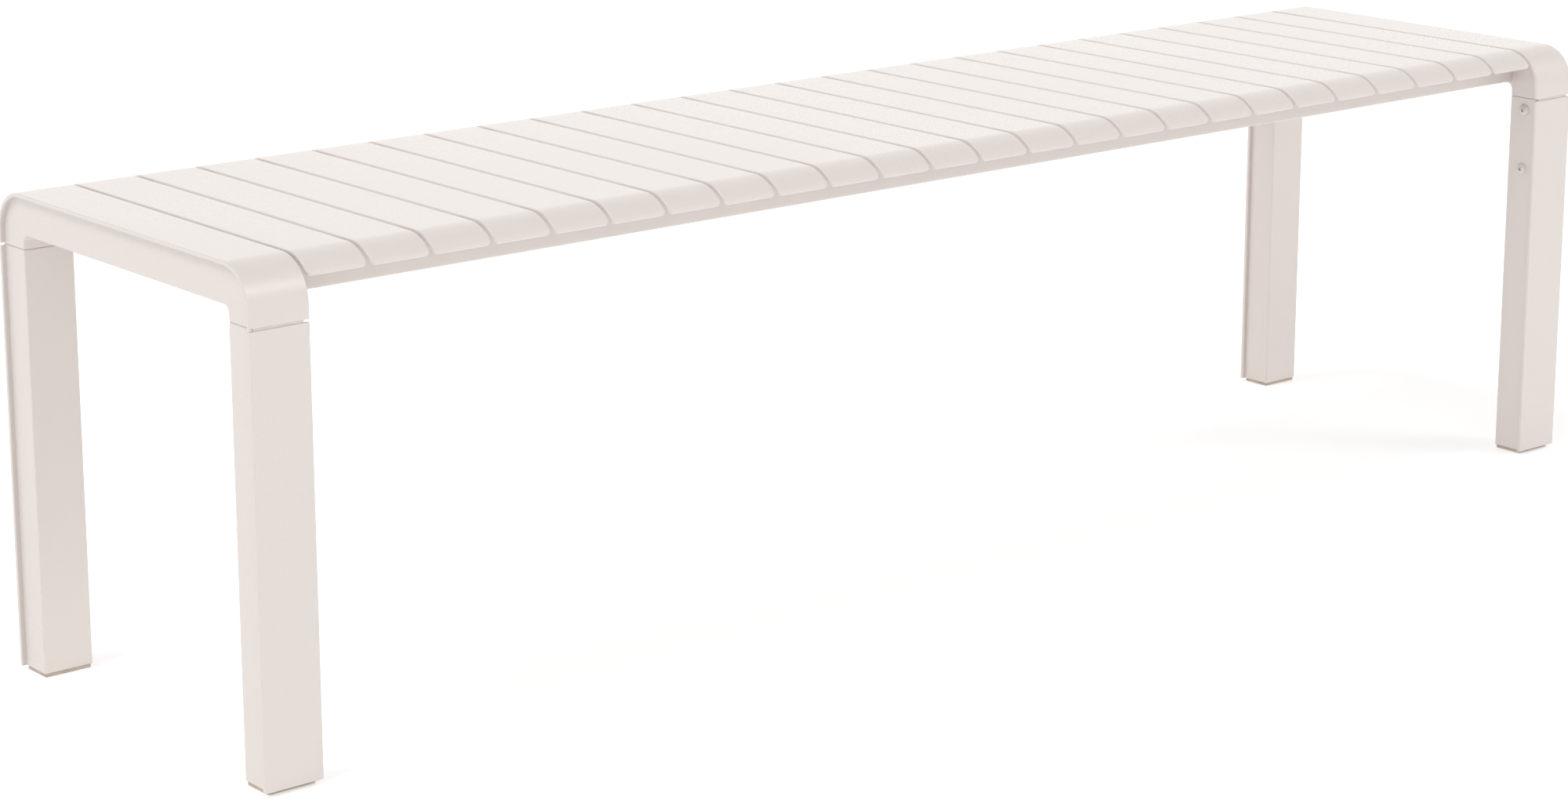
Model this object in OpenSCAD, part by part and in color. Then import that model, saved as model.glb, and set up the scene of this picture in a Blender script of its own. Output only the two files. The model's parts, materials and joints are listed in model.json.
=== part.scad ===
// Backless garden bench: two arched end frames on four screwed-on legs, two
// rails between them and a row of bent slats across the rails.
// Millimetres. X runs along the bench, the front is -Y, the floor is Z = 0 and
// the origin is on the floor under the middle of the seat.

/* [Overall] */
// Length over both end frames
bench_length = 1750; // [900:10:2400]
// Depth from the front face to the back face
bench_depth = 440; // [340:5:600]
// Height of the seat above the floor
seat_height = 470; // [380:5:560]

/* [End frames] */
// Width of the outer band, as seen from the front
band_width = 60; // [48:1:80]
// Thickness of the outer band
band_thickness = 4; // [3:0.5:6]
// How far the band stands out past the tube on each side
band_overhang = 4.5; // [2:0.5:8]
// Depth of the beam and of the legs, band included
section_depth = 40; // [34:1:54]
// Wall of the tube
tube_wall = 2.5; // [2:0.5:4]
// Outside radius of the shoulders
shoulder_radius = 40; // [28:1:60]
// Radius of the corners inside the arch
arch_radius = 7; // [2:1:12]

/* [Legs] */
// Height of the seam below the seat, where the legs start
seam_drop = 54; // [48:1:70]
// Height of the groove between the bands at the seam
seam_groove = 2.5; // [1:0.5:5]
// Distance of the upper screw below the seam
screw_drop = 14; // [12:1:30]
// Distance between the two leg screws
screw_spacing = 68; // [40:1:90]
// Thread size of the leg screws
leg_screw_d = 8; // [6:1:8]
// Length of the leg screws under the head
leg_screw_length = 16; // [14:1:16]

/* [Leg connectors] */
// Length of the connector below the seam
connector_below = 104; // [104:1:140]
// Height of the connector above the seam
connector_above = 30; // [20:1:40]
// Wall of the connector
connector_wall = 4; // [3:0.5:6]
// Wall of the connector on the side that the screws enter
connector_boss = 14; // [14:1:18]
// Gap round the connector inside the leg
connector_gap = 0.3; // [0.1:0.1:0.6]

/* [Foot glides] */
// Height of the glide below the leg
glide_height = 3.5; // [3:0.5:10]
// How far the glide stands in from the sides of the tube
glide_inset = 1; // [0.5:0.5:3]
// Depth of the glide's plug inside the leg
plug_height = 22; // [12:1:40]
// Wall of the plug
plug_wall = 2.5; // [1.5:0.5:4]
// Gap round the plug inside the leg
plug_gap = 0.3; // [0.1:0.1:0.6]

/* [Slats] */
// Gap between slats, and between a slat and an end frame
slat_gap = 4; // [2:0.5:8]
// Thickness of a slat
slat_thickness = 4; // [3:0.5:5]
// How far the bent ends come down below the seat
slat_drop = 16.5; // [10:0.5:24]
// Radius of the corners of the bent ends
slat_corner = 5; // [1:0.5:6]
// Thread size of the slat screws
slat_screw_d = 5; // [4:1:6]
// Depth of the threaded hole in a slat
slat_thread_depth = 3; // [2:0.5:3.5]

/* [Rails] */
// Width of a rail
rail_width = 25; // [20:1:40]
// Height of a rail
rail_height = 34; // [26:1:36]
// Wall of a rail
rail_wall = 3; // [2:0.5:4]
// How far the rail stands behind the end of the shoulder curve
rail_inset = 0; // [0:1:30]

/* [Brackets] */
// Length of each arm of a bracket
bracket_arm = 28; // [24:1:40]
// Height of a bracket
bracket_height = 24; // [18:1:26]
// Thickness of a bracket
bracket_thickness = 3; // [2:0.5:5]
// Thread size of the bracket screws
bracket_screw_d = 6; // [5:1:6]
// Length of the bracket screws under the head
bracket_screw_length = 14; // [12:1:16]

/* [Hidden] */

$fn = 48;
cut = 1;                 // how far a cut runs past a face
thread_gap = 0.05;       // between a screw and the thread that it sits in
hole_gap = 0.25;         // between a screw and a plain hole
coat = [0.93, 0.90, 0.87];
metal = [0.75, 0.75, 0.77];
nylon = [0.55, 0.50, 0.46];

slat_count = 25;         // one node each
screw_head_r = 0.875;    // radius of a screw's head, as a share of its thread size
screw_head_h = 0.55;     // height of the head, the same
socket_r = 0.29;         // radius of the hex socket, the same
socket_floor = 0.45;     // where the socket starts, as a share of the head's height
bracket_drop = 1;        // gap between a bracket and the rail's upper wall

half_length = bench_length / 2;
half_depth = bench_depth / 2;
tube_width = band_width - 2 * band_overhang;
cavity_width = tube_width - 2 * tube_wall;
cavity_depth = section_depth - band_thickness - tube_wall;
seam_z = seat_height - max(seam_drop, section_depth + arch_radius);
beam_z = seat_height - section_depth;
tube_inner_x = half_length - band_width + band_overhang;   // inner side of a tube
slat_width = (bench_length - 2 * band_width - (slat_count + 1) * slat_gap) / slat_count;
slat_pitch = slat_width + slat_gap;
rail_y = half_depth - shoulder_radius - rail_inset;         // outer face of a rail
rail_top = seat_height - slat_thickness;
rail_mid_y = rail_y - rail_width / 2;
bracket_y = rail_y - rail_width;                            // inner face of a rail
bracket_mid_z = rail_top - rail_wall - bracket_height / 2 - bracket_drop;
bracket_hole = bracket_arm / 2 + bracket_thickness / 2;
nut_r = bracket_screw_d * 3 / 4;                            // rivet nut body
nut_collar_r = bracket_screw_d;
nut_collar = 3;
nut_length = 12;
pocket_bottom = seam_z - connector_below - cut;              // hollow of a leg connector
pocket_top = seam_z + connector_above - connector_wall;
pad_width = tube_width - 2 * glide_inset;
pad_depth = section_depth - band_thickness - 3 * glide_inset / 2;
pad_corner = 2 * glide_inset;

// Solid outline of an end frame above bottom in the Y-Z plane, taken in from its faces by inset
module frame_outline(inset, bottom) {
  r = shoulder_radius - inset;
  w = half_depth - inset;
  top = seat_height - inset;
  intersection() {
    union() {
      translate([-w, 0]) square([2 * w, top - r]);
      translate([r - w, 0]) square([2 * (w - r), top]);
      for (side = [-1, 1]) translate([side * (w - r), top - r]) circle(r);
    }
    translate([-w, bottom]) square([2 * w, top - bottom]);
  }
}

// Opening under the beam down to the floor, grown on all sides by grow
module arch_outline(grow) {
  r = arch_radius + grow;
  w = half_depth - section_depth + grow;
  top = beam_z + grow;
  translate([-w, 0]) square([2 * w, top - r]);
  translate([r - w, 0]) square([2 * (w - r), top]);
  for (side = [-1, 1]) translate([side * (w - r), top - r]) circle(r);
}

// Rectangle with round corners, centred on X, from y = 0
module round_rect(w, h, r) {
  translate([-w / 2, r]) square([w, h - 2 * r]);
  translate([r - w / 2, 0]) square([w - 2 * r, h]);
  for (x = [r - w / 2, w / 2 - r], y = [r, h - r]) translate([x, y]) circle(r);
}

// Extrudes a Y-Z outline along X
module along_x(length) rotate([90, 0, 90]) linear_extrude(length) children();

// Puts a front left piece at the corner given by side (-1 left) and face (-1 front)
module at_corner(side, face)
  mirror([side > 0 ? 1 : 0, 0, 0]) mirror([0, face > 0 ? 1 : 0, 0]) children();

// Cylinders along +X and +Y from the origin
module rod_x(r, length) rotate([0, 90, 0]) cylinder(r = r, h = length);

module rod_y(r, length) rotate([-90, 0, 0]) cylinder(r = r, h = length);

// Button head screw with a hex socket; the head's underside is at z = 0 and the shank points down
module button_screw(d, length) {
  head_r = d * screw_head_r;
  head_h = d * screw_head_h;
  dome_r = (head_r * head_r + head_h * head_h) / (2 * head_h);
  difference() {
    union() {
      translate([0, 0, -length]) cylinder(r = d / 2, h = length);
      intersection() {
        cylinder(r = head_r, h = head_h);
        translate([0, 0, head_h - dome_r]) sphere(dome_r);
      }
    }
    translate([0, 0, head_h * socket_floor]) cylinder(r = d * socket_r, h = head_h, $fn = 6);
  }
}

// Rivet nut set in a wall; its face is at z = 0 and it points down
module rivet_nut(wall)
  difference() {
    union() {
      translate([0, 0, -nut_length]) cylinder(r = nut_r, h = nut_length);
      translate([0, 0, -wall - nut_collar]) cylinder(r = nut_collar_r, h = nut_collar);
    }
    translate([0, 0, -nut_length - cut])
      cylinder(r = bracket_screw_d / 2 + thread_gap, h = nut_length + 2 * cut);
  }

// Square tube under a wider outer band, from seam to seam over both shoulders
module end_frame(side) color(coat) at_corner(side, -1) translate([-half_length, 0, 0])
  difference() {
    union() {
      along_x(band_width) difference() {
        frame_outline(0, seam_z + seam_groove / 2);
        frame_outline(band_thickness, seam_z - cut);
      }
      translate([band_overhang, 0, 0]) along_x(tube_width) difference() {
        frame_outline(band_thickness, seam_z);
        arch_outline(0);
      }
    }
    translate([band_overhang + tube_wall, 0, 0]) along_x(cavity_width) difference() {
      frame_outline(band_thickness, seam_z - cut);
      arch_outline(tube_wall);
    }
    for (face = [-1, 1])
      translate([band_overhang + tube_width + cut, face * (bracket_y - bracket_hole), bracket_mid_z])
        mirror([1, 0, 0]) rod_x(nut_r, tube_wall + 2 * cut);
  }

// Heights of the two leg screws
leg_screw_z = [seam_z - screw_drop, seam_z - screw_drop - screw_spacing];

// Runs its children at the axis of each leg screw, on the tube's inner side, facing into the leg
module at_leg_screws()
  for (z = leg_screw_z)
    translate([-tube_inner_x, -half_depth + section_depth / 2, z]) children();

// Straight length of the same section, from the seam down to the glide
module leg(side, face) color(coat) at_corner(side, face) difference() {
  translate([-half_length, -half_depth, 0]) difference() {
    union() {
      translate([0, 0, glide_height])
        cube([band_width, band_thickness, seam_z - seam_groove / 2 - glide_height]);
      translate([band_overhang, band_thickness, glide_height])
        cube([tube_width, section_depth - band_thickness, seam_z - glide_height]);
    }
    translate([band_overhang + tube_wall, band_thickness, glide_height - cut])
      cube([cavity_width, cavity_depth, seam_z - glide_height + 2 * cut]);
  }
  at_leg_screws() translate([cut, 0, 0]) mirror([1, 0, 0])
    rod_x(leg_screw_d / 2 + hole_gap, tube_wall + 2 * cut);
}

// Cast spigot: a tight fit in the frame's stub and an easy fit in the leg
module leg_connector(side, face) color(metal) at_corner(side, face) difference() {
  union() {
    translate([-half_length + band_overhang + tube_wall, 0, 0]) along_x(cavity_width)
      intersection() {
        frame_outline(band_thickness, seam_z);
        translate([-half_depth + band_thickness, seam_z])
          square([cavity_depth, connector_above]);
      }
    translate([
      -half_length + band_overhang + tube_wall + connector_gap,
      -half_depth + band_thickness + connector_gap,
      seam_z - connector_below
    ])
      cube([cavity_width - 2 * connector_gap, cavity_depth - 2 * connector_gap, connector_below]);
  }
  translate([-half_length + band_overhang + tube_wall + connector_wall, 0, 0])
    along_x(cavity_width - connector_wall - connector_boss) intersection() {
      frame_outline(band_thickness + connector_wall, pocket_bottom);
      translate([-half_depth + band_thickness + connector_wall, pocket_bottom])
        square([cavity_depth - 2 * connector_wall, pocket_top - pocket_bottom]);
    }
  at_leg_screws() mirror([1, 0, 0])
    rod_x(leg_screw_d / 2 + thread_gap, tube_wall + connector_boss + 2 * cut);
}

// The two screws of one leg
module leg_screws(side, face) color(coat) at_corner(side, face)
  at_leg_screws() rotate([0, 90, 0]) button_screw(leg_screw_d, leg_screw_length);

// Pad under the leg with a hollow plug inside it
module foot_glide(side, face) color(nylon) at_corner(side, face)
  translate([-half_length + band_width / 2, -half_depth + band_thickness, 0]) {
    translate([0, glide_inset / 2, 0]) linear_extrude(glide_height)
      round_rect(pad_width, pad_depth, pad_corner);
    difference() {
      translate([plug_gap - cavity_width / 2, plug_gap, glide_height])
        cube([cavity_width - 2 * plug_gap, cavity_depth - 2 * plug_gap, plug_height]);
      translate([plug_wall - cavity_width / 2, plug_wall, glide_height])
        cube([cavity_width - 2 * plug_wall, cavity_depth - 2 * plug_wall, plug_height + cut]);
    }
    translate([-plug_wall / 2, plug_gap, glide_height])
      cube([plug_wall, cavity_depth - 2 * plug_gap, plug_height - plug_wall]);
  }

// X positions of the slats
slat_x = [for (i = [0 : slat_count - 1]) (i - (slat_count - 1) / 2) * slat_pitch];

// Runs its children at each bracket's screw on the rail, facing into the rail
module at_rail_fixings()
  for (side = [-1, 1])
    translate([side * (tube_inner_x - bracket_hole), -bracket_y, bracket_mid_z]) children();

// A channel, open below; face is -1 for the front rail
module rail(face) color(coat) at_corner(-1, face) difference() {
  translate([-tube_inner_x, -rail_y, rail_top - rail_height])
    cube([2 * tube_inner_x, rail_width, rail_height]);
  translate([-tube_inner_x - cut, -rail_y + rail_wall, rail_top - rail_height - cut])
    cube([
      2 * (tube_inner_x + cut), rail_width - 2 * rail_wall, rail_height - rail_wall + cut
    ]);
  for (x = slat_x) translate([x, -rail_mid_y, rail_top - rail_wall - cut])
    cylinder(r = slat_screw_d / 2 + hole_gap, h = rail_wall + 2 * cut);
  at_rail_fixings() translate([0, cut, 0]) mirror([0, 1, 0]) rod_y(nut_r, rail_wall + 2 * cut);
}

// Angle bracket in the corner between a rail and an end frame
module bracket(side, face) color(coat) at_corner(side, face)
  translate([-tube_inner_x, -bracket_y, bracket_mid_z]) difference() {
    translate([0, 0, -bracket_height / 2]) {
      cube([bracket_arm, bracket_thickness, bracket_height]);
      cube([bracket_thickness, bracket_arm, bracket_height]);
    }
    translate([bracket_hole, -cut, 0])
      rod_y(bracket_screw_d / 2 + hole_gap, bracket_thickness + 2 * cut);
    translate([-cut, bracket_hole, 0])
      rod_x(bracket_screw_d / 2 + hole_gap, bracket_thickness + 2 * cut);
  }

// Runs its children at both fixings of every bracket; z = 0 is the fixed wall's face and +Z leaves it
module at_bracket_fixings()
  for (side = [-1, 1], face = [-1, 1]) at_corner(side, face)
    translate([-tube_inner_x, -bracket_y, bracket_mid_z]) {
      translate([bracket_hole, 0, 0]) rotate([-90, 0, 0]) {
        $wall = rail_wall;
        children();
      }
      translate([0, bracket_hole, 0]) rotate([0, 90, 0]) {
        $wall = tube_wall;
        children();
      }
    }

// Two screws in each bracket, in one node
module bracket_screws() color(metal) at_bracket_fixings()
  translate([0, 0, bracket_thickness]) button_screw(bracket_screw_d, bracket_screw_length);

// A rivet nut for each of those screws
module bracket_rivet_nuts() color(metal) at_bracket_fixings() rivet_nut($wall);

// Flat strip across the bench with both ends bent down over the shoulders
module slat(number) color(coat) translate([slat_x[number - 1] - slat_width / 2, 0, 0])
  difference() {
    intersection() {
      along_x(slat_width) difference() {
        frame_outline(0, seat_height - slat_drop);
        frame_outline(slat_thickness, seat_height - slat_drop - cut);
      }
      translate([slat_width / 2, half_depth + cut, seat_height - slat_drop]) rotate([90, 0, 0])
        linear_extrude(bench_depth + 2 * cut)
          round_rect(slat_width, slat_drop + 2 * slat_corner, slat_corner);
    }
    for (face = [-1, 1]) translate([slat_width / 2, face * rail_mid_y, rail_top - cut])
      cylinder(r = slat_screw_d / 2 + thread_gap, h = slat_thread_depth + cut);
  }

// One screw under each slat, up through the rail
module slat_screws(face) color(metal) for (x = slat_x)
  translate([x, face * rail_mid_y, rail_top - rail_wall]) rotate([180, 0, 0])
    button_screw(slat_screw_d, rail_wall + slat_thread_depth);

end_frame(-1);  // end_frame_left
end_frame(1);  // end_frame_right
leg(-1, -1);  // leg_front_left
leg(1, -1);  // leg_front_right
leg(-1, 1);  // leg_back_left
leg(1, 1);  // leg_back_right
leg_connector(-1, -1);  // leg_connector_front_left
leg_connector(1, -1);  // leg_connector_front_right
leg_connector(-1, 1);  // leg_connector_back_left
leg_connector(1, 1);  // leg_connector_back_right
leg_screws(-1, -1);  // leg_screws_front_left
leg_screws(1, -1);  // leg_screws_front_right
leg_screws(-1, 1);  // leg_screws_back_left
leg_screws(1, 1);  // leg_screws_back_right
foot_glide(-1, -1);  // foot_glide_front_left
foot_glide(1, -1);  // foot_glide_front_right
foot_glide(-1, 1);  // foot_glide_back_left
foot_glide(1, 1);  // foot_glide_back_right
rail(-1);  // front_rail
rail(1);  // back_rail
bracket(-1, -1);  // bracket_front_left
bracket(1, -1);  // bracket_front_right
bracket(-1, 1);  // bracket_back_left
bracket(1, 1);  // bracket_back_right
bracket_screws();
bracket_rivet_nuts();
slat(1);  // slat_01
slat(2);  // slat_02
slat(3);  // slat_03
slat(4);  // slat_04
slat(5);  // slat_05
slat(6);  // slat_06
slat(7);  // slat_07
slat(8);  // slat_08
slat(9);  // slat_09
slat(10);  // slat_10
slat(11);  // slat_11
slat(12);  // slat_12
slat(13);  // slat_13
slat(14);  // slat_14
slat(15);  // slat_15
slat(16);  // slat_16
slat(17);  // slat_17
slat(18);  // slat_18
slat(19);  // slat_19
slat(20);  // slat_20
slat(21);  // slat_21
slat(22);  // slat_22
slat(23);  // slat_23
slat(24);  // slat_24
slat(25);  // slat_25
slat_screws(-1);  // slat_screws_front
slat_screws(1);  // slat_screws_back
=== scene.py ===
import json
import math
import bmesh
import bpy
from mathutils import Matrix, Vector


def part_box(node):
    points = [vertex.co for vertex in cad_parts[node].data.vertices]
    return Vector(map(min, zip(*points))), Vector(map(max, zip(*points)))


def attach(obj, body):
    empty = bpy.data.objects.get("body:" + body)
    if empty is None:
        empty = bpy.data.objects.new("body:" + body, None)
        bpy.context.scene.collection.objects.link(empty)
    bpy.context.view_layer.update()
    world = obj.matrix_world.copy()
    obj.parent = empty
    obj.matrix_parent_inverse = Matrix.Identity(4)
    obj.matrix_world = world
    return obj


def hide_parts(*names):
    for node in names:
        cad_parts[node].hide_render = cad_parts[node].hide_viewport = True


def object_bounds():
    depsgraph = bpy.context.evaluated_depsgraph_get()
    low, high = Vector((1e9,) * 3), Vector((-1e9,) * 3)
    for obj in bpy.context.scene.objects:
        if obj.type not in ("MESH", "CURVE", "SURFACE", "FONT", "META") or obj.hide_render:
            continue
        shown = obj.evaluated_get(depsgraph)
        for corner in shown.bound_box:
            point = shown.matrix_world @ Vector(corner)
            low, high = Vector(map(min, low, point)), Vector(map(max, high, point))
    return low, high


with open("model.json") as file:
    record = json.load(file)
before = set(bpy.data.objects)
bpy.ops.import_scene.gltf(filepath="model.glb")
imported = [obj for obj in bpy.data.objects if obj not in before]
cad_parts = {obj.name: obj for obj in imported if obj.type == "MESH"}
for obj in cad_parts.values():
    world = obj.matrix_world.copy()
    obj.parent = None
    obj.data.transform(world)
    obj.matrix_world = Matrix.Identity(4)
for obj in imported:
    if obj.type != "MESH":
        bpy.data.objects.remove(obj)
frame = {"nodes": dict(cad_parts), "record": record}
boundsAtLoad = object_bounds()
recordSlots = {entry["node"]: entry["material_slot"] for entry in frame["record"]["subparts"]}
print("bench loaded:", len(frame["nodes"]), "nodes")

# Lengths are in metres and colours are linear, here and in every dictionary below.


class Nodes:  # one node tree, of a material or of the sky
    def __init__(self, tree):
        self.tree = tree

    def node(self, kind, settings=None, sockets=None, out=0):
        made = self.tree.nodes.new("ShaderNode" + kind)
        for key, value in (settings or {}).items():
            setattr(made, key, value)
        for key, value in (sockets or {}).items():
            self.plug(value, made.inputs[key])
        return Wire(self, made.outputs[out])

    def plug(self, value, socket):
        if isinstance(value, Wire):
            self.tree.links.new(value.socket, socket)
        elif isinstance(value, tuple) and socket.type == "RGBA":
            socket.default_value = (*value, 1.0)
        else:
            socket.default_value = value

    def mixColour(self, amount, first, second):
        return self.node("Mix", {"data_type": "RGBA"}, {0: amount, 6: first, 7: second}, out=2)

    def noise(self, size, detail=2.0, rough=0.5):
        place = self.node("TexCoord", out="Object")
        return self.node("TexNoise", sockets={
            "Vector": place, "Scale": 1.0 / size, "Detail": detail, "Roughness": rough})

    def bump(self, height, depth, under=None):
        sockets = {"Height": height, "Distance": depth, "Strength": 1.0}
        if under:
            sockets["Normal"] = under
        return self.node("Bump", sockets=sockets)


class Wire:  # an output socket that takes part in ordinary arithmetic
    def __init__(self, nodes, socket):
        self.nodes = nodes
        self.socket = socket

    def maths(self, operation, first, second):
        return self.nodes.node("Math", {"operation": operation}, {0: first, 1: second})

    def __add__(self, other):
        return self.maths("ADD", self, other)

    def __radd__(self, other):
        return self.maths("ADD", other, self)

    def __sub__(self, other):
        return self.maths("SUBTRACT", self, other)

    def __rsub__(self, other):
        return self.maths("SUBTRACT", other, self)

    def __mul__(self, other):
        return self.maths("MULTIPLY", self, other)

    def __rmul__(self, other):
        return self.maths("MULTIPLY", other, self)

    def __pow__(self, other):
        return self.maths("POWER", self, other)

    def __rpow__(self, other):
        return self.maths("POWER", other, self)

    def clamped(self):
        return self.maths("MINIMUM", self.maths("MAXIMUM", self, 0.0), 1.0)


class Recipe(Nodes):  # a material
    def __init__(self, name):
        self.material = bpy.data.materials.new(name)
        self.material.use_nodes = True
        super().__init__(self.material.node_tree)
        self.shader = self.tree.nodes["Principled BSDF"]

    def set(self, name, value):
        self.plug(value, self.shader.inputs[name])


def scaled(colour, amount):
    return tuple(min(1.0, channel * amount) for channel in colour)


coatLook = {
    "colour": (0.677, 0.622, 0.586),
    "shade": 0.045,           # how much the colour drifts over a piece
    "shadeSize": 0.35,
    "speckle": 0.035,         # and from grain to grain
    "roughness": 0.30,
    "roughnessDrift": 0.10,
    "roughnessGrain": 0.18,
    "grainSize": 0.0007,
    "grainHeight": 0.00004,
    "peelSize": 0.006,        # the long soft waves of sprayed powder
    "peelHeight": 0.00006,
    "wornColour": 1.12,       # how much lighter a worn edge is
    "wornAmount": 0.20,
    "wornPatch": 0.02,
    "wornPolish": 0.08,       # and how much smoother
    "screwGloss": 0.12,
}


def powderCoat(name, gloss=0.0):
    look = coatLook
    colour, shade, speckle = look["colour"], look["shade"], look["speckle"]
    recipe = Recipe(name)
    drift = recipe.noise(look["shadeSize"], 3.0)
    grain = recipe.noise(look["grainSize"], 2.0, 0.6)
    peel = recipe.noise(look["peelSize"], 1.0)
    patches = 0.4 + recipe.noise(look["wornPatch"], 4.0) * 0.6
    worn = recipe.node("Attribute", {"attribute_name": "wear"}, out="Fac") * patches
    broad = recipe.mixColour(drift, scaled(colour, 1 - shade), scaled(colour, 1 + shade))
    fleck = ((grain - 0.5) * 2.2 + 0.5).clamped()
    fine = recipe.mixColour(fleck, scaled(colour, 1 - speckle), scaled(colour, 1 + speckle))
    mottled = recipe.mixColour(0.5, broad, fine)
    rubbed = scaled(colour, look["wornColour"])
    recipe.set("Base Color", recipe.mixColour(worn * look["wornAmount"], mottled, rubbed))
    slow = (drift - 0.5) * look["roughnessDrift"]
    fast = (grain - 0.5) * look["roughnessGrain"]
    recipe.set("Roughness", look["roughness"] - gloss + slow + fast - worn * look["wornPolish"])
    waves = recipe.bump(peel, look["peelHeight"])
    recipe.set("Normal", recipe.bump(grain, look["grainHeight"], waves))
    return recipe.material


glideLook = {
    "colour": (0.50, 0.42, 0.35),
    "shade": 0.12,
    "roughness": 0.62,
    "roughnessDrift": 0.25,
    "scuffSize": 0.012,
    "grainSize": 0.0005,
    "grainHeight": 0.00005,
}


def mouldedNylon(name):
    look = glideLook
    recipe = Recipe(name)
    grain = recipe.noise(look["grainSize"], 3.0, 0.6)
    scuff = recipe.noise(look["scuffSize"], 5.0, 0.65)
    dull, rubbed = scaled(look["colour"], 1 - look["shade"]), scaled(look["colour"], 1 + look["shade"])
    recipe.set("Base Color", recipe.mixColour(((scuff - 0.42) * 3).clamped(), dull, rubbed))
    recipe.set("Roughness", look["roughness"] + (scuff - 0.5) * look["roughnessDrift"])
    recipe.set("Normal", recipe.bump(grain, look["grainHeight"]))
    return recipe.material


# clouds and grain are the noise's size, detail and roughness
zincLook = {
    "colour": (0.62, 0.62, 0.63),
    "shade": 0.15,
    "roughness": 0.34,
    "clouds": (0.004, 4.0, 0.6),
    "grain": (0.0006, 2.0, 0.5),
    "grainHeight": 0.00001,
}
castLook = {
    "colour": (0.55, 0.55, 0.56),
    "shade": 0.14,
    "roughness": 0.58,
    "clouds": (0.0011, 4.0, 0.65),
    "grain": (0.0011, 4.0, 0.65),
    "grainHeight": 0.00006,
}


def bareMetal(name, look):
    recipe = Recipe(name)
    cloud = recipe.noise(*look["clouds"])
    grain = recipe.noise(*look["grain"])
    dark, pale = scaled(look["colour"], 1 - look["shade"]), scaled(look["colour"], 1 + look["shade"])
    recipe.set("Base Color", recipe.mixColour(cloud, dark, pale))
    recipe.set("Metallic", 1.0)
    recipe.set("Roughness", look["roughness"] + (cloud - 0.5) * 0.3)
    recipe.set("Normal", recipe.bump(grain, look["grainHeight"]))
    return recipe.material


materials = {
    "powder_coat": powderCoat("powder_coat"),
    "slat_coat": powderCoat("slat_coat"),
    "coated_screw": powderCoat("coated_screw", coatLook["screwGloss"]),
    "cast_metal": bareMetal("cast_metal", castLook),
    "glide_plastic": mouldedNylon("glide_plastic"),
    "steel": bareMetal("steel", zincLook),
}
print("materials made:", len(materials))


def roundCorners(points, radii, steps=5):
    # swaps the corners of a closed outline for arcs
    made = []
    for index, radius in enumerate(radii):
        corner = Vector(points[index])
        if not radius:
            made.append(corner)
            continue
        before = (Vector(points[index - 1]) - corner).normalized()
        after = (Vector(points[(index + 1) % len(points)]) - corner).normalized()
        half = before.angle(after) / 2
        centre = corner + (before + after).normalized() * radius / math.sin(half)
        first = corner + before * radius / math.tan(half) - centre
        last = corner + after * radius / math.tan(half) - centre
        sweep = first.angle(last)
        for step in range(steps + 1):
            share = step / steps
            turned = first * math.sin((1 - share) * sweep) + last * math.sin(share * sweep)
            made.append(centre + turned / math.sin(sweep))
    return made


def outwardNormals(points):
    # long enough at the corners to keep an inset even
    area = sum(points[i - 1].cross(points[i]) for i in range(len(points)))
    turn = 1 if area > 0 else -1
    normals = []
    for index, point in enumerate(points):
        before = (point - points[index - 1]).normalized()
        after = (points[(index + 1) % len(points)] - point).normalized()
        first = Vector((before.y, -before.x)) * turn
        second = Vector((after.y, -after.x)) * turn
        middle = (first + second).normalized()
        normals.append(middle / max(0.3, middle.dot(second)))
    return normals


roundingSteps = 3


class Sheets:  # closed sheets with round edges, gathered in one mesh
    def __init__(self):
        self.mesh = bmesh.new()
        self.wear = self.mesh.verts.layers.float.new("wear")

    def add(self, points, thickness, radius, place, ladder=False):
        # place turns (u, v, height) into a point; ladder closes a bent strip rung by rung
        rising = [(1, step) for step in range(roundingSteps + 1)]
        falling = [(-1, step) for step in reversed(range(roundingSteps + 1))]
        rings = [self.ring(points, thickness, radius, place, side, step) for side, step in rising + falling]
        count = len(points)
        for low, high in zip(rings, rings[1:]):
            for i in range(count):
                j = (i + 1) % count
                self.mesh.faces.new((low[i], low[j], high[j], high[i]))
        for ring in (rings[0], rings[-1]):
            if ladder:
                for i in range(count // 2 - 1):
                    self.mesh.faces.new((ring[i], ring[i + 1], ring[count - 2 - i], ring[count - 1 - i]))
            else:
                self.mesh.faces.new(ring)

    def ring(self, points, thickness, radius, place, side, step):
        angle = step / roundingSteps * math.pi / 2
        inset = radius * (1 - math.sin(angle))
        height = side * (thickness / 2 - radius * (1 - math.cos(angle)))
        made = []
        for point, normal in zip(points, outwardNormals(points)):
            at = point - normal * inset
            vertex = self.mesh.verts.new(place(at.x, at.y, height))
            vertex[self.wear] = math.sin(2 * angle)
            made.append(vertex)
        return made

    def finish(self, name, node):
        bmesh.ops.recalc_face_normals(self.mesh, faces=self.mesh.faces)
        for face in self.mesh.faces:
            face.smooth = True
        data = bpy.data.meshes.new(name)
        self.mesh.to_mesh(data)
        self.mesh.free()
        data.set_sharp_from_angle(angle=math.radians(50))
        data.materials.append(materials[recordSlots[node]])
        piece = bpy.data.objects.new(name, data)
        bpy.context.scene.collection.objects.link(piece)
        modifier = piece.modifiers.new("normals", "WEIGHTED_NORMAL")
        modifier.keep_sharp = True
        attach(piece, "root")
        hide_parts(node)
        return piece


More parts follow.
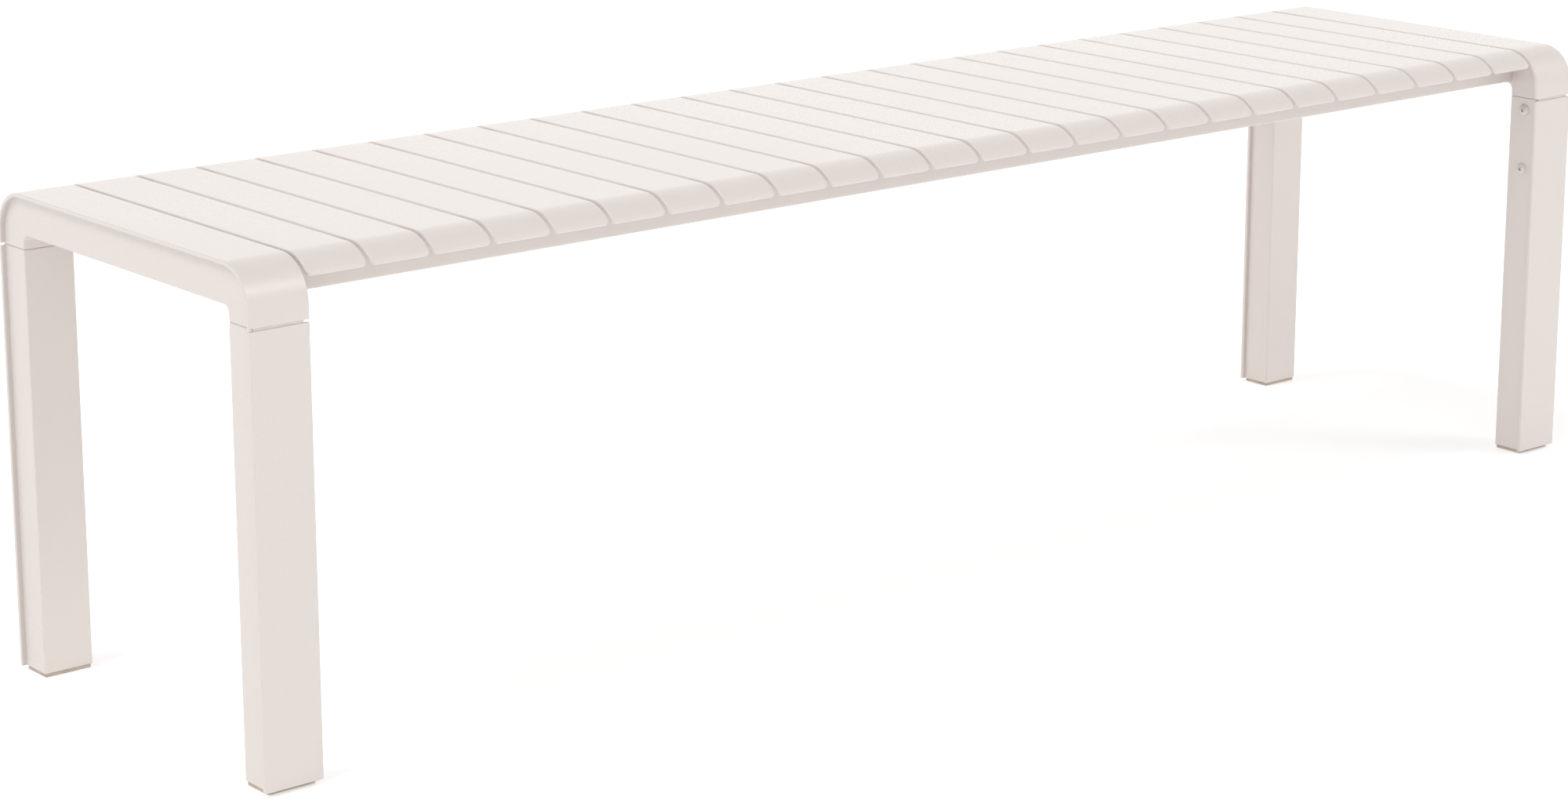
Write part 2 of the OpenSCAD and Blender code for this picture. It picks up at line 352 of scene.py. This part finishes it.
class BentPath:
    # the middle of a band that goes up, over a shoulder, along and down again
    def __init__(self, halfDepth, top, outerRadius, thickness, rise, fromAngle=0.0):
        self.radius = outerRadius - thickness / 2
        self.flat = 2 * (halfDepth - outerRadius)
        self.centreY = halfDepth - outerRadius
        self.centreZ = top - outerRadius
        self.rise = rise
        self.arc = self.radius * (math.pi / 2 - fromAngle)
        self.half = rise + self.arc + self.flat / 2

    def stations(self, steps=14):
        # distances from the middle of the seat, from the front end to the back end
        curve = [self.flat / 2 + self.arc * step / steps for step in range(steps + 1)]
        if self.rise:
            curve.append(self.half)
        return [-u for u in reversed(curve)] + curve

    def point(self, u, height):
        side = 1 if u > 0 else -1
        run = abs(u) - self.flat / 2
        if run <= 0:
            return Vector((0, u, self.centreZ + self.radius + height))
        angle = math.pi / 2 - min(run, self.arc) / self.radius
        reach = self.radius + height
        straight = max(0.0, run - self.arc)
        return Vector((0, side * (self.centreY + reach * math.cos(angle)),
                       self.centreZ + reach * math.sin(angle) - straight))


def rectangle(low, high):
    return [(low[0], low[1]), (high[0], low[1]), (high[0], high[1]), (low[0], high[1])]


def middleX(node):
    low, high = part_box(node)
    return (low.x + high.x) / 2


sides = ("left", "right")
faces = ("front", "back")
outward = {"front": -1, "back": 1}
legLow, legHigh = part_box("leg_front_left")
frameLow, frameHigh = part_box("end_frame_left")
halfDepth = boundsAtLoad[1][1]
seatTop = boundsAtLoad[1][2]
seam = (legHigh.z + frameLow.z) / 2
sectionDepth = legHigh.y - legLow.y
bandWidth = frameHigh.x - frameLow.x
tubeInset = frameHigh.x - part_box("front_rail")[0].x      # how far the band stands out past the tube
tubeWidth = bandWidth - 2 * tubeInset

endFrame = {
    "shoulder": 0.040,        # outside radius of the bend over the top corners
    "bandThickness": 0.004,
    "arch": 0.007,            # radius of the corners under the beam
    "seamGroove": 0.0025,
    "seamLip": 0.0014,        # rounding of the tube at the seam
    "bandEdge": 0.0009,
    "tubeEdge": 0.0012,
    "overlap": 0.4,           # how much of the band's thickness the tube goes into
}
tubeOuter = halfDepth - endFrame["bandThickness"] * endFrame["overlap"]
tubeTop = seatTop - endFrame["bandThickness"] * endFrame["overlap"]


def makeEndFrame(side):
    node = "end_frame_" + side
    look, middle = endFrame, middleX(node)
    rise = seatTop - look["shoulder"] - seam - look["seamGroove"] / 2
    path = BentPath(halfDepth, seatTop, look["shoulder"], look["bandThickness"], rise)
    stations = path.stations()
    outline = [Vector((u, -bandWidth / 2)) for u in stations]
    outline += [Vector((u, bandWidth / 2)) for u in reversed(stations)]
    sheets = Sheets()
    sheets.add(outline, look["bandThickness"], look["bandEdge"],
               lambda u, v, h: path.point(u, h) + Vector((middle + v, 0, 0)), ladder=True)
    inner, beam = halfDepth - sectionDepth, seatTop - sectionDepth
    corners = [(-tubeOuter, seam), (-inner, seam), (-inner, beam), (inner, beam), (inner, seam),
               (tubeOuter, seam), (tubeOuter, tubeTop), (-tubeOuter, tubeTop)]
    lip, arch, shoulder = look["seamLip"], look["arch"], look["shoulder"]
    radii = [0, lip, arch, arch, lip, 0, shoulder, shoulder]
    sheets.add(roundCorners(corners, radii, 8), tubeWidth, look["tubeEdge"],
               lambda u, v, h: Vector((middle + h, u, v)))
    return sheets.finish(node + "_coated", node)


leg = {
    "plateCorner": 0.0012,    # in the plane of the plate
}


def makeLeg(face, side):
    node = "leg_" + face + "_" + side
    look, middle, out = endFrame, middleX(node), outward[face]
    thickness, lip = look["bandThickness"], look["seamLip"]
    bottom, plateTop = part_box(node)[0].z, seam - look["seamGroove"] / 2
    sheets = Sheets()
    plate = rectangle((-bandWidth / 2, bottom), (bandWidth / 2, plateTop))
    sheets.add(roundCorners(plate, [leg["plateCorner"]] * 4), thickness, look["bandEdge"],
               lambda u, v, h: Vector((middle + u, out * (halfDepth - thickness / 2 + h), v)))
    tube = rectangle((halfDepth - sectionDepth, bottom), (tubeOuter, seam))
    sheets.add(roundCorners(tube, [lip, 0, 0, lip]), tubeWidth, look["tubeEdge"],
               lambda u, v, h: Vector((middle + h, out * u, v)))
    return sheets.finish(node + "_coated", node)


slat = {
    "thickness": 0.004,
    "corner": 0.005,          # at the ends of the bent noses
    "edge": 0.0014,
}


def makeSlat(number):
    node = f"slat_{number:02d}"
    low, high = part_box(node)
    middle, halfWidth, corner = (low.x + high.x) / 2, (high.x - low.x) / 2, slat["corner"]
    shoulder = endFrame["shoulder"]
    fromAngle = math.asin((low.z - seatTop + shoulder) / shoulder)
    path = BentPath(halfDepth, seatTop, shoulder, slat["thickness"], 0.0, fromAngle)
    rungs = []
    for step in range(7):
        angle = step / 6 * math.pi / 2
        u = corner * (1 - math.cos(angle)) - path.half
        rungs.append((u, halfWidth - corner * (1 - math.sin(angle))))
    cornerEnd = rungs[-1][0] + 0.001
    rungs += [(u, halfWidth) for u in path.stations() if cornerEnd < u <= 0]
    rungs += [(-u, width) for u, width in reversed(rungs)]
    outline = [Vector((u, -width)) for u, width in rungs]
    outline += [Vector((u, width)) for u, width in reversed(rungs)]
    sheets = Sheets()
    sheets.add(outline, slat["thickness"], slat["edge"],
               lambda u, v, h: path.point(u, h) + Vector((middle + v, 0, 0)), ladder=True)
    return sheets.finish(node + "_coated", node)


rail = {
    "wall": 0.003,
    "outerRadius": 0.0021,    # along the upper edges
    "lipRadius": 0.0018,      # along the lower edges, outside
    "lipInside": 0.0009,
    "innerRadius": 0.0015,
    "endEdge": 0.00045,
}


def makeRail(face):
    node = face + "_rail"
    low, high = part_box(node)
    wall, out = rail["wall"], outward[face]
    near, far = sorted((abs(low.y), abs(high.y)))
    roof = high.z - wall
    corners = [(near, low.z), (near + wall, low.z), (near + wall, roof), (far - wall, roof),
               (far - wall, low.z), (far, low.z), (far, high.z), (near, high.z)]
    lip, lipInside = rail["lipRadius"], rail["lipInside"]
    inner, outer = rail["innerRadius"], rail["outerRadius"]
    sheets = Sheets()
    sheets.add(roundCorners(corners, [lip, lipInside, inner, inner, lipInside, lip, outer, outer]),
               high.x - low.x, rail["endEdge"], lambda u, v, h: Vector((h, out * u, v)))
    return sheets.finish(node + "_coated", node)


bracket = {
    "wall": 0.003,
    "outerBend": 0.003,
    "innerBend": 0.0015,
    "endRadius": 0.0009,
    "edge": 0.0006,
}


def makeBracket(face, side):
    node = "bracket_" + face + "_" + side
    low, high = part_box(node)
    across = 1 if side == "left" else -1
    along = -outward[face]
    startX = low.x if side == "left" else high.x
    startY = low.y if face == "front" else high.y
    middleZ = (low.z + high.z) / 2
    arm, wall, end = high.x - low.x, bracket["wall"], bracket["endRadius"]
    corners = [(0, 0), (arm, 0), (arm, wall), (wall, wall), (wall, arm), (0, arm)]
    radii = [bracket["outerBend"], end, end, bracket["innerBend"], end, end]
    sheets = Sheets()
    sheets.add(roundCorners(corners, radii), high.z - low.z, bracket["edge"],
               lambda u, v, h: Vector((startX + across * u, startY + along * v, middleZ + h)))
    return sheets.finish(node + "_coated", node)


glide = {
    "inset": 0.001,           # how far the pad stands in from the tube
    "corner": 0.002,
    "edge": 0.0008,
}


def makeGlide(face, side):
    node = "foot_glide_" + face + "_" + side
    middle, out, inset = middleX(node), outward[face], glide["inset"]
    height = legLow.z
    near = halfDepth - sectionDepth + inset
    far = halfDepth - endFrame["bandThickness"] - inset / 2
    pad = rectangle((inset - tubeWidth / 2, near), (tubeWidth / 2 - inset, far))
    sheets = Sheets()
    sheets.add(roundCorners(pad, [glide["corner"]] * 4), height, glide["edge"],
               lambda u, v, h: Vector((middle + u, out * v, height / 2 + h)))
    return sheets.finish(node + "_pad", node)


made = [makeEndFrame(side) for side in sides] + [makeRail(face) for face in faces]
made += [makeSlat(number) for number in range(1, 26)]
for face in faces:
    for side in sides:
        made += [makeLeg(face, side), makeBracket(face, side), makeGlide(face, side)]
print("pieces built:", len(made))

fixings = [(node, piece) for node, piece in frame["nodes"].items() if not piece.hide_render]
for node, piece in fixings:
    piece.data.materials.clear()
    piece.data.materials.append(materials[recordSlots[node]])
print("fixings finished:", len(fixings))


floorLook = {"colour": (0.80, 0.80, 0.80), "roughness": 0.9, "glow": 0.35, "size": 60.0}


def makeFloor():
    half = floorLook["size"] / 2
    mesh = bpy.data.meshes.new("floor")
    mesh.from_pydata([(x, y, 0) for x, y in rectangle((-half, -half), (half, half))], [], [(0, 1, 2, 3)])
    floor = bpy.data.objects.new("floor", mesh)
    bpy.context.scene.collection.objects.link(floor)
    recipe = Recipe("floor")
    recipe.set("Base Color", floorLook["colour"])
    recipe.set("Roughness", floorLook["roughness"])
    recipe.set("Emission Color", (1.0, 1.0, 1.0))
    recipe.set("Emission Strength", floorLook["glow"])
    mesh.materials.append(recipe.material)


skyLook = {
    "back": 1.03,             # four soft walls of light
    "front": 0.86,
    "left": 0.45,
    "right": 0.75,
    "lowBehind": 0.28,        # a band that the seat's top reflects
    "horizonTightness": 60,
    "softboxFrom": (0.53, -0.62, 0.58),
    "softboxTightness": 90,
    "softbox": 6.5,           # glints on the shoulders and the slats' noses
}


def makeSky():
    look = skyLook
    world = bpy.data.worlds.new("sky")
    world.use_nodes = True
    bpy.context.scene.world = world
    nodes = Nodes(world.node_tree)
    generated = nodes.node("TexCoord", out="Generated")
    x, y, z = (nodes.node("SeparateXYZ", sockets={0: generated}, out=axis) for axis in range(3))
    walls = (x.clamped() * look["right"] + (0 - x).clamped() * look["left"]
             + y.clamped() * look["back"] + (0 - y).clamped() * look["front"])
    band = (x * 0.64 + y * 0.77).clamped() ** 4 * (1 - z).clamped() ** 3 * look["lowBehind"]
    towards = Vector(look["softboxFrom"]).normalized()
    facing = (x * towards.x + y * towards.y + z * towards.z).clamped()
    softbox = facing ** look["softboxTightness"] * look["softbox"]
    horizon = (1 - walls).clamped() * (1 - z * z).clamped() ** look["horizonTightness"]
    background = world.node_tree.nodes["Background"]
    nodes.plug(walls + band + softbox + horizon, background.inputs["Strength"])
    nodes.plug((1.0, 1.0, 1.0), background.inputs["Color"])


keyLight = {"from": (-0.45, 0.05, 0.89), "spread": 0.45, "strength": 1.28}


def makeKeyLight():
    data = bpy.data.lights.new("key", "SUN")
    data.angle = keyLight["spread"]
    data.energy = keyLight["strength"]
    lamp = bpy.data.objects.new("key", data)
    lamp.rotation_euler = Vector(keyLight["from"]).to_track_quat("Z", "Y").to_euler()
    bpy.context.scene.collection.objects.link(lamp)


cameraSetup = {
    "place": (-2.398, -2.751, 1.142),
    "turn": 0.694,            # radians from +Y towards +X
    "tilt": 0.231,            # radians below the horizon
    "lens": 82.45,
    "shift": -0.075,
}


def makeCamera():
    data = bpy.data.cameras.new("camera")
    data.lens = cameraSetup["lens"]
    data.shift_y = cameraSetup["shift"]
    data.clip_end = 200
    camera = bpy.data.objects.new("camera", data)
    turn, tilt = cameraSetup["turn"], cameraSetup["tilt"]
    forward = Vector((math.sin(turn) * math.cos(tilt), math.cos(turn) * math.cos(tilt), -math.sin(tilt)))
    turned = forward.to_track_quat("-Z", "Y").to_matrix().to_4x4()
    camera.matrix_world = Matrix.Translation(cameraSetup["place"]) @ turned
    bpy.context.scene.collection.objects.link(camera)
    bpy.context.scene.camera = camera


makeFloor()
makeSky()
makeKeyLight()
makeCamera()
bpy.context.scene.view_settings.view_transform = "Standard"
print("stage set")
